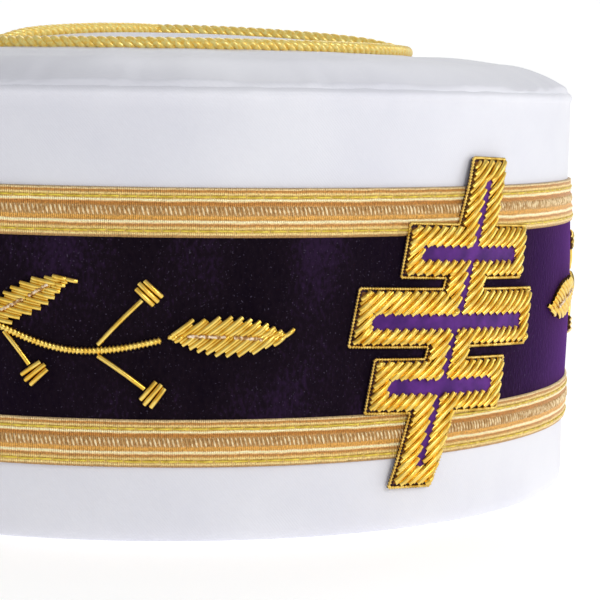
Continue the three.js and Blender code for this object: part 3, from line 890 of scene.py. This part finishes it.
for side_name, sign, over_up, tip_drop, tip_lean, first_reach in sprays:
    def height_on_stem(arc):
        return band_middle + over_up * stem_rise(arc)

    spray_end = spray_first_dip + spray_half_wave * (spray_units - 1) + spray_tail
    rings = round((spray_end - spray_start) / ring_pitch)
    stem = []
    for i in range(rings * 4 + 1):
        arc = spray_start + (spray_end - spray_start) * i / (rings * 4)
        height = height_on_stem(arc)
        girth = 1 - ring_waist * (0.5 + 0.5 * math.cos(2 * math.pi * i / 4))
        stem.append((on_wall(sign * arc, height, under(height) + pile_depth + stem_seat), girth))
    add_piece(side_name + "_ringed_stem", many_tubes(side_name + "_ringed_stem", [stem], stem_radius),
              bright_gold, [side_name + "_stem"])

    leaves = [(Vector((sign * tip_leaf_base, band_middle - tip_drop)),
               Vector((sign * tip_leaf_tip, band_middle - tip_drop - tip_lean)), tip_leaf_half, -sign)]
    stalks = []
    for unit in range(spray_units):
        dip = spray_first_dip + spray_half_wave * unit
        flip = over_up if unit % 2 == 0 else -over_up
        leaf_base = Vector((sign * (dip + side_leaf["base"]), band_middle + flip * side_leaf["base_rise"]))
        leaf_tip = Vector((sign * (dip + side_leaf["tip"]), band_middle + flip * side_leaf["tip_rise"]))
        leaves.append((leaf_base, leaf_tip, side_leaf_half, flip * sign))
        for sprig in sprigs:
            foot = dip + sprig["foot"]
            reach = sprig["reach"] * (first_reach if unit == 0 else 1)
            head = Vector((sign * (foot - reach), band_middle + flip * sprig["rise"]))
            stalks.append((Vector((sign * foot, height_on_stem(foot))), head))
    for number, leaf in enumerate(leaves):
        name = f"{side_name}_leaf_{number}"
        add_piece(name + "_coils", many_tubes(name + "_coils", leaf_chips(leaf), leaf_chip_radius),
                  bright_gold, [name])
        add_piece(name + "_padding", mesh_from(leaf_padding(leaf), name + "_padding"), bright_gold)
        add_piece(name + "_midrib", many_tubes(name + "_midrib", midrib_paths(leaf), midrib_radius),
                  pale_check)

    paths = []
    for number, (start, head) in enumerate(stalks):
        along = (head - start).normalized()
        across = Vector((-along.y, along.x))
        stalk = []
        for share in steps_between(0, 1, 8):
            point = start + (head - start) * share + across * 0.15 * mm * math.sin(math.pi * share)
            point += along * (stalk_start_gap * (1 - share) - stalk_end_gap * share)
            lift = 0.3 * mm + 0.2 * mm * math.sin(math.pi * share)
            stalk.append((on_wall(point.x, point.y, under(point.y) + pile_depth + lift), 1))
        paths.append(stalk)
        for step in (-1, 0, 1):
            middle = head + along * berry_spacing * step
            lean = across + along * 0.18 * noise.noise(Vector((number * 2.7, step * 1.3, sign)))
            half = lean.normalized() * berry_chip / 2 * (1 - 0.12 * abs(step))
            slide = across * 0.5 * mm * noise.noise(Vector((number, step * 2.1, 7.7 * sign)))
            paths.append(chip_path(middle - half + slide, middle + half + slide,
                                   pile_depth + berry_seat, berry_arch))
    add_piece(side_name + "_berries", many_tubes(side_name + "_berries", paths, berry_chip_radius),
              bright_gold)

# Crown cords: twisted gold rope of three strands, sewn down on the satin. One rope makes a closed
# ring in a shallow groove, and three more lie from the middle of the crown out to the ring.
cord_radius = 1.44 * mm
strand_radius = 0.77 * mm
strand_offset = 0.67 * mm
strand_turn = 6.1 * mm
turn_steps = 14
cord_seat = cord_radius - 0.3 * mm
spoke_sink = 0.35 * mm
rope_radius = 57.8 * mm
ring_height = dome_height(ring_radius) + cord_seat
spoke_start = 0.1 * mm
spoke_end = 57.6 * mm
first_spoke = math.radians(47)
path_nudge = 0.001
cord_gold, tree, shader = new_finish("cord_gold", 0.3, 0.3)
tinted(tree, shader, 1600, 2, [(0.36, (1.0, 0.64, 0.09)), (0.62, (1.0, 0.84, 0.27))])
bumped(tree, shader, speckle(tree, 2600, 2), 0.03 * mm, 0.6)
shader.inputs["Coat Weight"].default_value = 0.35
shader.inputs["Coat Roughness"].default_value = 0.2
shader.inputs["Sheen Weight"].default_value = 0.25
shader.inputs["Sheen Tint"].default_value = (1.0, 0.85, 0.5, 1)


def rope(name, path_at, length, closed, cad_node):
    turns = round(length / strand_turn)
    count = turns * turn_steps
    paths = []
    for strand in range(3):
        path = []
        for i in range(count + (0 if closed else 1)):
            share = i / count
            here = path_at(share)
            forward = (path_at(share + path_nudge) - path_at(share - path_nudge)).normalized()
            sideways = forward.cross(Vector((0, 0, 1))).normalized()
            upward = sideways.cross(forward)
            angle = -2 * math.pi * (turns * share + strand / 3)
            place_in_rope = here + (sideways * math.cos(angle) + upward * math.sin(angle)) * strand_offset
            path.append((place_in_rope * oval, 1))
        paths.append(path)
    add_piece(name, many_tubes(name, paths, strand_radius, 3, closed), cord_gold, [cad_node])


def ring_at(share):
    angle = 2 * math.pi * share
    return Vector((rope_radius * math.sin(angle), -rope_radius * math.cos(angle), ring_height))


def spoke_at(azimuth):
    def at(share):
        distance = spoke_start + (spoke_end - spoke_start) * share
        return Vector((distance * math.sin(azimuth), -distance * math.cos(azimuth),
                       dome_height(distance) + cord_seat - spoke_sink))

    return at


rope("crown_ring_rope", ring_at, 2 * math.pi * rope_radius, True, "crown_ring_cord")
for number in range(3):
    azimuth = first_spoke + 2 * math.pi / 3 * number
    rope(f"crown_spoke_rope_{number}", spoke_at(azimuth), spoke_end - spoke_start, False,
         f"crown_spoke_cord_{number}")
